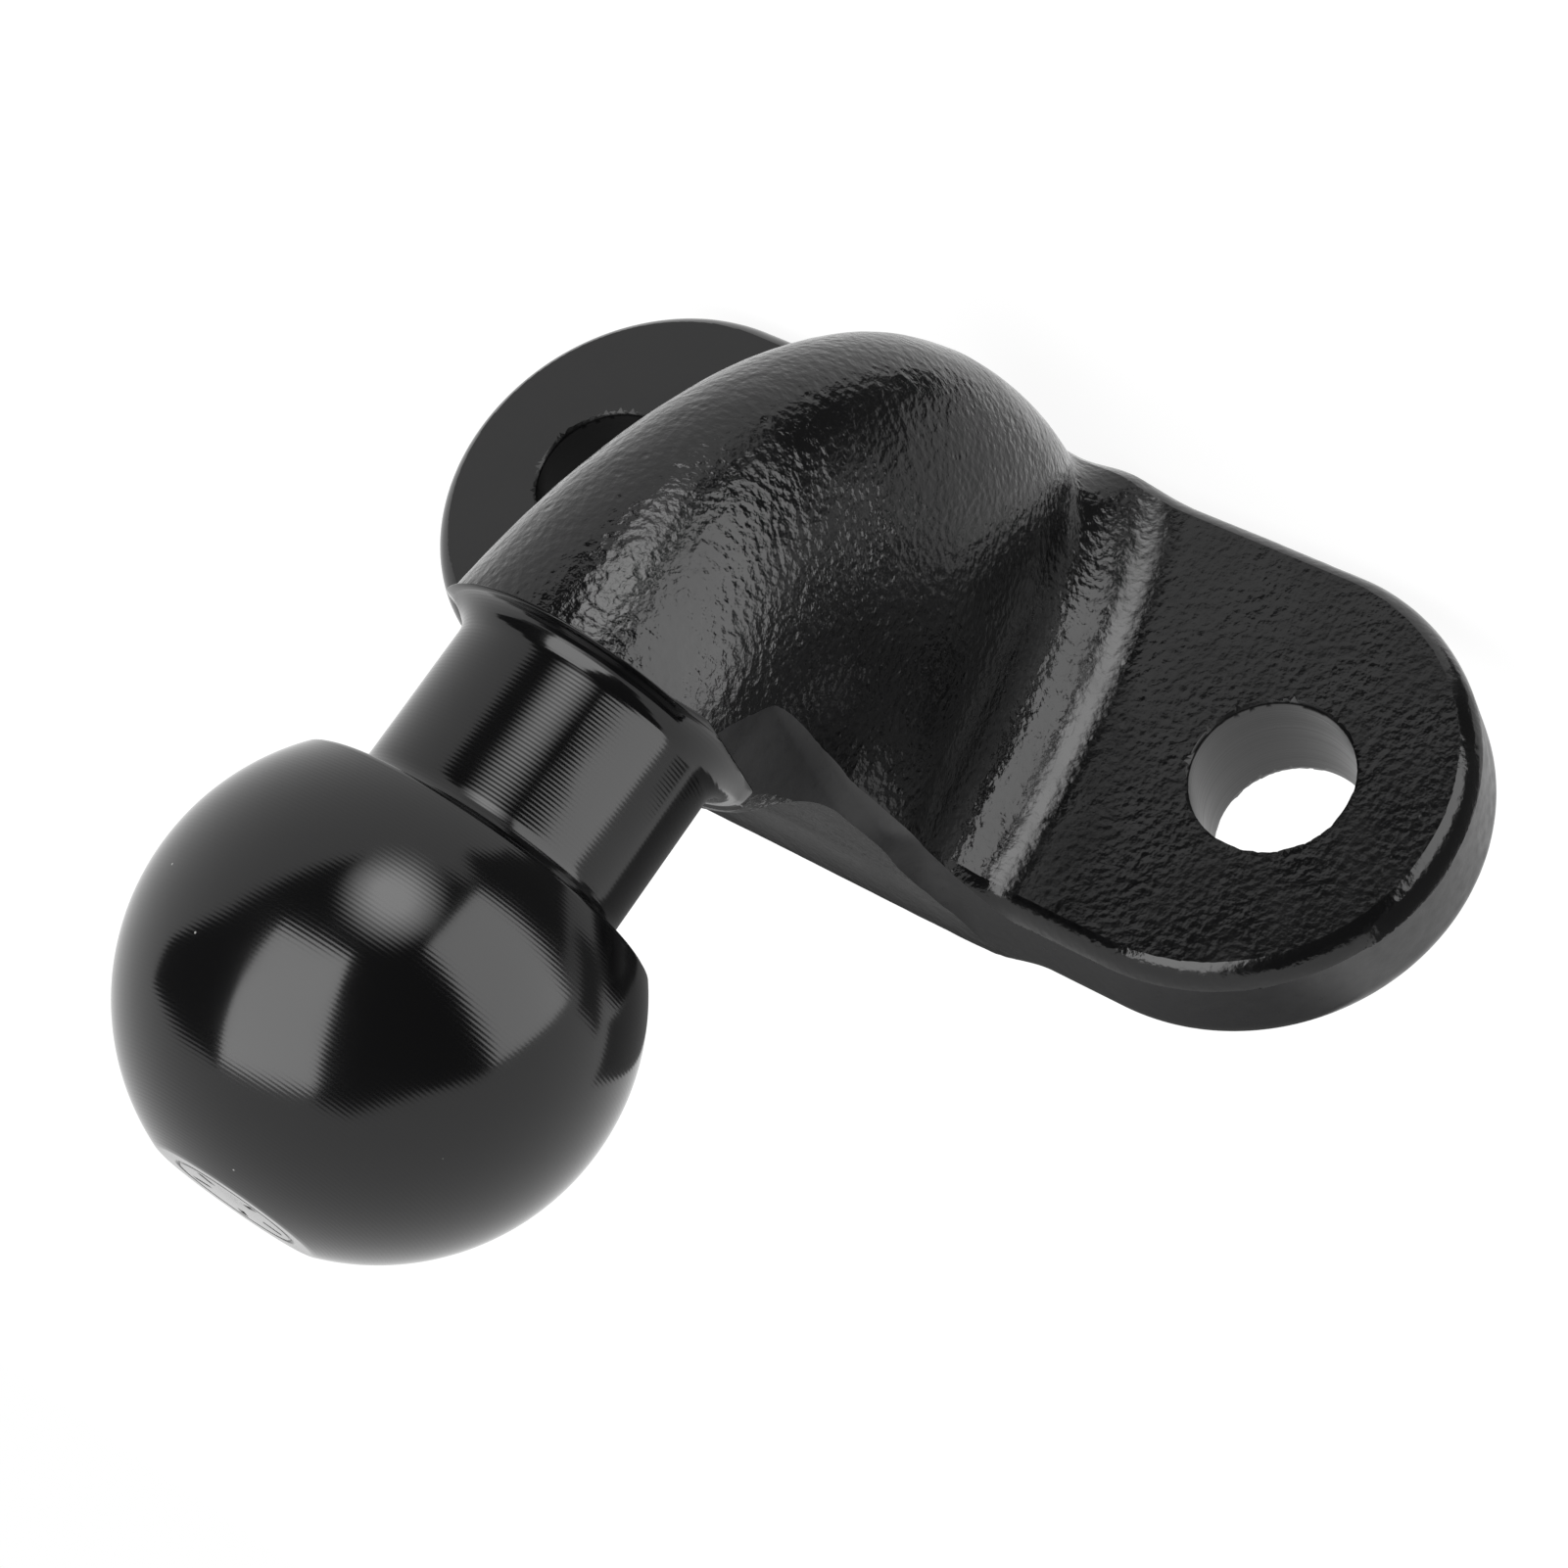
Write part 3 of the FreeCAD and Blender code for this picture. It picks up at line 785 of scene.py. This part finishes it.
def milled_paint(finish):
    """Paint on the milled mounting face, with straight cutter marks."""
    return satin_paint(finish, "milled_paint", finish.paint, (0.1, 1.0, 3.0), 0.010 * MM)


def turned_paint(finish, pitch, name, height):
    """Thin gloss paint that still shows the lathe's tool marks."""
    material, nodes, links = new_material(name)
    shader = shader_with_output(nodes, links, finish.paint, finish.turned_gloss)
    map_node = nodes.new("ShaderNodeUVMap")
    map_node.uv_map = "turning"
    split = nodes.new("ShaderNodeSeparateXYZ")
    links.new(map_node.outputs["UV"], split.inputs["Vector"])
    marks = calculate(nodes, links, "SINE", calculate(
        nodes, links, "MULTIPLY", split.outputs["Y"], 2 * math.pi / pitch), 0.0)
    place = place_of(nodes)
    cloud = noise(nodes, links, place, CLOUD_SIZE)
    depth = remap(nodes, links, cloud, 0.3, 0.7, 0.5, 1.3)
    normal = bump(nodes, links, calculate(nodes, links, "MULTIPLY", marks, depth), height, None)
    bump(nodes, links, noise(nodes, links, place, RIPPLE_SIZE, 3.0), RIPPLE_HEIGHT, shader, normal)
    low, high = finish.turned_gloss - 0.02, finish.turned_gloss + 0.03
    links.new(remap(nodes, links, cloud, 0.3, 0.7, low, high), shader.inputs["Roughness"])
    dust_specks(nodes, links, place, finish.paint, shader)
    return material


# ---- pieces -----------------------------------------------------------------


def build_forging(sizes, finish):
    """The arm and the flange in one, as they were forged: rough skin, sheared edge, drilled holes."""
    low = (-PLATE_HIGH[0] - 0.7, -77.0, PLATE_LOW[2] - 0.8)
    high = (PLATE_HIGH[0] + 0.7, 0.7, LEDGE + 0.6)
    cell = sizes.cell / MM
    points, quads = wrap_field(forging_field, lambda p: forging_field(p, skin_grain(p)), low, high, cell)
    triangles = split_quads(points, quads, lambda p: forging_field(p, skin_grain(p)))
    box_low, box_high = (np.array(corner) / MM for corner in CAD_BOX)
    points = np.clip(points, box_low, box_high)
    paints = [forged_paint(finish), trimmed_paint(finish), ledge_paint(finish), drilled_paint(finish),
              milled_paint(finish)]
    forging = new_object("forging", points * MM, triangles, paints)
    thin_out(forging, sizes.faces)
    dress_forging(forging)
    return forging


def crown_mark_depth(x, y):
    """Depth of the plain punched marks on the crown: short strokes round the middle."""
    radius = np.hypot(x, y)
    turn = np.arctan2(y, x)
    step = 2 * math.pi / CROWN_MARKS
    across = np.abs((turn + step / 2) % step - step / 2) * radius
    ends, sides = STROKE_SLOPE
    low, high = CROWN_STROKE
    inside = np.clip((high - radius) / ends, 0, 1) * np.clip((radius - low) / ends, 0, 1)
    return MARK_DEPTH * inside * np.clip((STROKE_WIDTH - across) / sides, 0, 1)


def build_ball(sizes, finish):
    """The turned ball, its flat crown with a ring groove and punched marks, and the flat under it."""
    crown = sizes.crown_radius / MM
    middle = CROWN - math.sqrt(BALL_RADIUS ** 2 - crown ** 2)
    under = math.sqrt(BALL_RADIUS ** 2 - (middle - UNDER_FLAT) ** 2)
    low_angle = math.degrees(math.asin((UNDER_FLAT - middle) / BALL_RADIUS))
    high_angle = math.degrees(math.asin((CROWN - middle) / BALL_RADIUS))
    outline = [(0, UNDER_FLAT), (12.0, UNDER_FLAT)]
    outline += [(r, UNDER_FLAT) for r in np.linspace(14, under - UNDER_EDGE - 0.01, 12)]
    outline += arc((under - UNDER_EDGE - 0.02, UNDER_FLAT + UNDER_EDGE), UNDER_EDGE, -80, low_angle - 12, 6)
    outline += arc((0, middle), BALL_RADIUS, low_angle + 0.7, high_angle - 0.5, 130)
    outline += [(crown - 0.06, CROWN - 0.03)]
    for r in np.arange(crown - 0.18, 0.3, -0.12):
        groove = max(0.0, 1 - ((r - RING_GROOVE) / GROOVE_WIDTH) ** 2)
        outline.append((r, CROWN - MARK_DEPTH * groove))
    outline.append((0, CROWN))
    paint = turned_paint(finish, sizes.lathe_pitch, "ball_paint", BALL_LATHE)
    ball = turned("ball_turned", outline, [paint])
    points = np.empty(len(ball.data.vertices) * 3)
    ball.data.vertices.foreach_get("co", points)
    points = points.reshape(-1, 3)
    top = points[:, 2] > (CROWN - 0.02) * MM
    x, y = points[top, 0] / MM, points[top, 1] / MM - AXIS_Y
    points[top, 2] -= crown_mark_depth(x, y) * MM
    ball.data.vertices.foreach_set("co", points.ravel())
    ball.data.update()
    return ball


def build_neck(sizes, finish):
    """The turned neck: a hollow flare onto the ledge, a straight shank and a hollow root under the ball."""
    shank, flare, root = sizes.neck_diameter / MM / 2, sizes.flare_radius / MM, sizes.root_radius / MM
    ledge = LEDGE + 0.05
    outline = [(0, SHOULDER), (FLARE_TIP, SHOULDER), (FLARE_TIP, ledge)]
    outline += arc((shank + flare, ledge + flare), flare, 270, 180, 14)
    outline += [(shank, z) for z in np.linspace(ledge + flare + 0.5, UNDER_FLAT - root - 0.5, 24)]
    outline += arc((shank + root, UNDER_FLAT - root), root, 180, 90, 16)
    outline += [(0, UNDER_FLAT)]
    paint = turned_paint(finish, sizes.lathe_pitch, "neck_paint", NECK_LATHE)
    neck = turned("neck_turned", outline, [paint])
    for point in neck.data.vertices:
        point.co.x = min(max(point.co.x, -FLARE_FLAT * MM), FLARE_FLAT * MM)
        if point.co.z < (ledge + flare) * MM:
            point.co.z -= ledge_fall(point.co.x / MM) * MM
    return neck


# ---- studio -----------------------------------------------------------------

BALL_CENTRE = Vector((0.0, AXIS_Y, 73.0)) * MM
# Directions from the ball in degrees: round from the front towards the left, and up.
# Patches of the surround that aren't white: outline, a direction inside it, and brightness.
DARK_ROOM = ((-85, 25), (-75, 17), (-60, 14), (-46, 8), (-36, -3), (-27, -15), (-20, -25), (-11, -35),
             (0, -45), (20, -50), (40, -55), (48, -55), (112, -35), (92, 0), (88, 10), (75, 30), (62, 55),
             (45, 60), (0, 62), (-50, 58), (-70, 45))
DARK_SKY = ((20, -66), (38, -57), (60, -53), (92, -45), (98, -38), (104, -32), (110, -36), (108, -45),
            (112, -52), (118, -60), (130, -66), (175, -66), (175, -80), (60, -80))
DIM_SKY = ((110, -36), (108, -45), (112, -52), (118, -60), (130, -66), (175, -66), (179, -40), (135, -38),
           (118, -36))
SKY_PATCHES = (("dark_room", DARK_ROOM, (15, 8), 0.067), ("dark_sky", DARK_SKY, (95, -66), 0.11),
               ("dim_sky", DIM_SKY, (140, -52), 0.67))
SKY_DISTANCE = 3.0
# Bright cards: the directions of their corners, and brightness.
LIGHTS = (("tall_light", ((-44, 57), (36, 57), (14, 2), (-19, 5)), 4.55),
          ("side_light", ((37, -18), (90, 1), (112, -33), (43, -53)), 3.33))
LIGHT_DISTANCE = 0.9
ROUND_LIGHT = ((12, -28), 21.5, 5.7)            # direction, radius in degrees, brightness
# Painted shade: dark cards that stand close to the part and show only in its reflections, standing in for the
# shadowed table under it. Each is two opposite corners in millimetres.
PAINTED_SHADE_CARDS = (("shade_card_behind", (-70, 12, 16), (75, 12, 47)), ("shade_card_left", (20, 12, -30), (75, 12, 16)),
              ("shade_card_beside", (-90, -24, -60), (-90, 14, 18)))
# brightness of the painted-shade cards
PAINTED_SHADE_GLOW = 0.167
SOFT_BOX = ((-20, 50), 1.4, 1.2, 12)            # direction, distance, width and power of the lamp
FLOOR_SIZE, FLOOR_GLOW, FLOOR_SHADE = 12.0, 0.93, 0.12
FLOOR_GAP = 0.5                                 # millimetres under the ears
LENS, SENSOR = 82.72, 36.0
CAMERA_PLACE = Vector((-188.2796, -336.3725, 123.4336)) * MM
CAMERA_RIGHT = Vector((-0.781614, 0.292287, -0.551042))
CAMERA_UP = Vector((0.382818, -0.472696, -0.793731))


def toward(round_degrees, up_degrees):
    """The direction at these angles as seen from the ball."""
    a, e = math.radians(round_degrees), math.radians(up_degrees)
    return Vector((-math.sin(a) * math.cos(e), -math.cos(a) * math.cos(e), math.sin(e)))


def glow(name, strength):
    """A material that only shines."""
    material, nodes, links = new_material(name)
    output = nodes.new("ShaderNodeOutputMaterial")
    emission = nodes.new("ShaderNodeEmission")
    emission.inputs["Strength"].default_value = strength
    links.new(emission.outputs["Emission"], output.inputs["Surface"])
    return material


def soft_glow(name, centre, radius, strength):
    """Light that fades towards the edge of a round card."""
    material, nodes, links = new_material(name)
    output = nodes.new("ShaderNodeOutputMaterial")
    emission = nodes.new("ShaderNodeEmission")
    clear = nodes.new("ShaderNodeBsdfTransparent")
    mix = nodes.new("ShaderNodeMixShader")
    apart = nodes.new("ShaderNodeVectorMath")
    apart.operation = "DISTANCE"
    apart.inputs[1].default_value = centre
    links.new(place_of(nodes), apart.inputs[0])
    fade = remap(nodes, links, apart.outputs["Value"], radius * 0.35, radius, 1.0, 0.0)
    emission.inputs["Strength"].default_value = strength
    links.new(fade, mix.inputs["Fac"])
    links.new(clear.outputs["BSDF"], mix.inputs[1])
    links.new(emission.outputs["Emission"], mix.inputs[2])
    links.new(mix.outputs["Shader"], output.inputs["Surface"])
    return material


def reflected_only(card):
    """Show a piece of the studio in reflections, and nowhere else."""
    card.visible_camera = False
    card.visible_diffuse = False
    card.visible_shadow = False


def add_card(name, corners, material, steps):
    """A four-sided card through the given corners."""
    grid = []
    for i in range(steps + 1):
        for j in range(steps + 1):
            u, v = i / steps, j / steps
            grid.append(corners[0] * (1 - u) * (1 - v) + corners[1] * u * (1 - v)
                        + corners[2] * u * v + corners[3] * (1 - u) * v)
    faces = []
    for i in range(steps):
        for j in range(steps):
            a = i * (steps + 1) + j
            faces.append((a, a + steps + 1, a + steps + 2, a + 1))
    reflected_only(new_object(name, grid, faces, [material]))


def fan(count, rings):
    """Faces of a disc: triangles round point 0, then rings of count points each."""
    faces = [(0, 1 + n, 1 + (n + 1) % count) for n in range(count)]
    for ring in range(rings - 1):
        for n in range(count):
            a, b = 1 + ring * count + n, 1 + ring * count + (n + 1) % count
            faces.append((a, a + count, b + count, b))
    return faces


def add_disc(name, centre, radius, material, rings=16, turns=48):
    """A round card facing the ball."""
    back = (BALL_CENTRE - centre).normalized()
    side = back.orthogonal().normalized()
    up = back.cross(side)
    points = [centre]
    for ring in range(1, rings + 1):
        for turn in range(turns):
            a = 2 * math.pi * turn / turns
            points.append(centre + (side * math.cos(a) + up * math.sin(a)) * radius * ring / rings)
    reflected_only(new_object(name, points, fan(turns, rings), [material]))


def add_sky_patch(name, outline, middle, strength, rings=24):
    """A patch of sky of its own brightness, cut to an outline in degrees."""
    rim = []
    for k, (a, e) in enumerate(outline):
        b, f = outline[(k + 1) % len(outline)]
        steps = max(1, int(math.dist((a, e), (b, f)) / 3))
        rim += [toward(a + (b - a) * n / steps, e + (f - e) * n / steps) for n in range(steps)]
    centre = toward(*middle)
    points = [BALL_CENTRE + centre * SKY_DISTANCE]
    for ring in range(1, rings + 1):
        points += [BALL_CENTRE + centre.lerp(p, ring / rings).normalized() * SKY_DISTANCE for p in rim]
    reflected_only(new_object(name, points, fan(len(rim), rings), [glow(name, strength)]))


def add_camera():
    data = bpy.data.cameras.new("camera")
    data.sensor_width, data.lens = SENSOR, LENS
    data.clip_start, data.clip_end = 0.01, 100.0
    camera = bpy.data.objects.new("camera", data)
    turn = Matrix((CAMERA_RIGHT, CAMERA_UP, CAMERA_RIGHT.cross(CAMERA_UP))).transposed().to_quaternion()
    camera.matrix_world = Matrix.LocRotScale(CAMERA_PLACE, turn, None)
    bpy.context.scene.collection.objects.link(camera)
    bpy.context.scene.camera = camera


def add_floor():
    """A pale floor that mostly glows, with just enough shade under the part to stand it down."""
    material, nodes, links = new_material("pale_floor")
    output = nodes.new("ShaderNodeOutputMaterial")
    matt = nodes.new("ShaderNodeBsdfDiffuse")
    matt.inputs["Color"].default_value = (FLOOR_SHADE, FLOOR_SHADE, FLOOR_SHADE, 1)
    emission = nodes.new("ShaderNodeEmission")
    emission.inputs["Strength"].default_value = FLOOR_GLOW
    both = nodes.new("ShaderNodeAddShader")
    links.new(matt.outputs["BSDF"], both.inputs[0])
    links.new(emission.outputs["Emission"], both.inputs[1])
    links.new(both.outputs["Shader"], output.inputs["Surface"])
    size, height = FLOOR_SIZE, (PLATE_LOW[2] - FLOOR_GAP) * MM
    corners = [(-size, -size, height), (size, -size, height), (size, size, height), (-size, size, height)]
    floor = new_object("floor", corners, [(0, 1, 2, 3)], [material])
    floor.visible_glossy = False
    floor.visible_diffuse = False


def add_soft_box():
    """The one lamp, which shades the floor and doesn't show in the paint."""
    direction, distance, width, power = SOFT_BOX
    soft = bpy.data.lights.new("soft_box", "AREA")
    soft.shape, soft.size, soft.size_y, soft.energy = "RECTANGLE", width, width, power
    soft.specular_factor = 0.0
    box = bpy.data.objects.new("soft_box", soft)
    box.location = BALL_CENTRE + toward(*direction) * distance
    box.rotation_mode = "QUATERNION"
    box.rotation_quaternion = (BALL_CENTRE - box.location).to_track_quat("-Z", "Y")
    bpy.context.scene.collection.objects.link(box)
    box.visible_glossy = False


def build_stage(finish):
    scene = bpy.context.scene
    scene.view_settings.view_transform = "Standard"
    world = bpy.data.worlds.new("studio")
    world.use_nodes = True
    world.node_tree.nodes["Background"].inputs["Color"].default_value = (1, 1, 1, 1)
    world.node_tree.nodes["Background"].inputs["Strength"].default_value = finish.surround
    scene.world = world
    add_floor()
    for name, outline, middle, strength in SKY_PATCHES:
        add_sky_patch(name, outline, middle, strength)
    # painted shade: dark cards, seen only in reflections, for the shadowed table under the part
    painted_shade_card = glow("painted_shade_card", PAINTED_SHADE_GLOW)
    for name, (x, y, z), (a, b, c) in PAINTED_SHADE_CARDS:
        corners = [(x, y, z), (a, b, z), (a, b, c), (x, y, c)]
        add_card(name, [Vector(corner) * MM for corner in corners], painted_shade_card, 1)
    for name, directions, strength in LIGHTS:
        corners = [BALL_CENTRE + toward(*direction) * LIGHT_DISTANCE for direction in directions]
        add_card(name, corners, glow(name, strength), 24)
    direction, degrees, strength = ROUND_LIGHT
    centre = BALL_CENTRE + toward(*direction) * LIGHT_DISTANCE
    radius = LIGHT_DISTANCE * math.tan(math.radians(degrees))
    add_disc("round_light", centre, radius, soft_glow("round_light", centre, radius, strength))
    add_soft_box()
    add_camera()


# ---- operators --------------------------------------------------------------


class TOWBALL_OT_forging(bpy.types.Operator):
    """Build the forged arm and flange."""

    bl_idname = "towball.forging"
    bl_label = "Forging"

    def execute(self, context):
        forging = build_forging(context.scene.tow_ball_sizes, context.scene.tow_ball_finish)
        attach(forging, "root")
        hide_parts("arm", "flange")
        return {"FINISHED"}


class TOWBALL_OT_turned(bpy.types.Operator):
    """Build the turned ball and neck."""

    bl_idname = "towball.turned"
    bl_label = "Ball and neck"

    def execute(self, context):
        for build, node in ((build_ball, "ball"), (build_neck, "neck")):
            piece = build(context.scene.tow_ball_sizes, context.scene.tow_ball_finish)
            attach(piece, "root")
            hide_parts(node)
        return {"FINISHED"}


class TOWBALL_OT_stage(bpy.types.Operator):
    """Set out the floor, the lights and the camera."""

    bl_idname = "towball.stage"
    bl_label = "Studio"

    def execute(self, context):
        build_stage(context.scene.tow_ball_finish)
        return {"FINISHED"}


class TOWBALL_PT_panel(bpy.types.Panel):
    """The sizes, the finish and the buttons that build each piece."""

    bl_idname = "TOWBALL_PT_panel"
    bl_label = "Tow ball"
    bl_space_type = "VIEW_3D"
    bl_region_type = "UI"
    bl_category = "Tow ball"

    def draw(self, context):
        for group in (context.scene.tow_ball_sizes, context.scene.tow_ball_finish):
            for name in group.__annotations__:
                self.layout.prop(group, name)
        for operator in OPERATORS:
            self.layout.operator(operator.bl_idname)


OPERATORS = (TOWBALL_OT_forging, TOWBALL_OT_turned, TOWBALL_OT_stage)
CLASSES = (TowBallSizes, TowBallFinish, *OPERATORS, TOWBALL_PT_panel)


def register():
    for cls in CLASSES:
        bpy.utils.register_class(cls)
    bpy.types.Scene.tow_ball_sizes = PointerProperty(type=TowBallSizes)
    bpy.types.Scene.tow_ball_finish = PointerProperty(type=TowBallFinish)


def unregister():
    del bpy.types.Scene.tow_ball_finish
    del bpy.types.Scene.tow_ball_sizes
    for cls in reversed(CLASSES):
        bpy.utils.unregister_class(cls)


def main():
    register()
    bpy.ops.towball.forging()
    bpy.ops.towball.turned()
    bpy.ops.towball.stage()


if __name__ == "__main__":
    main()
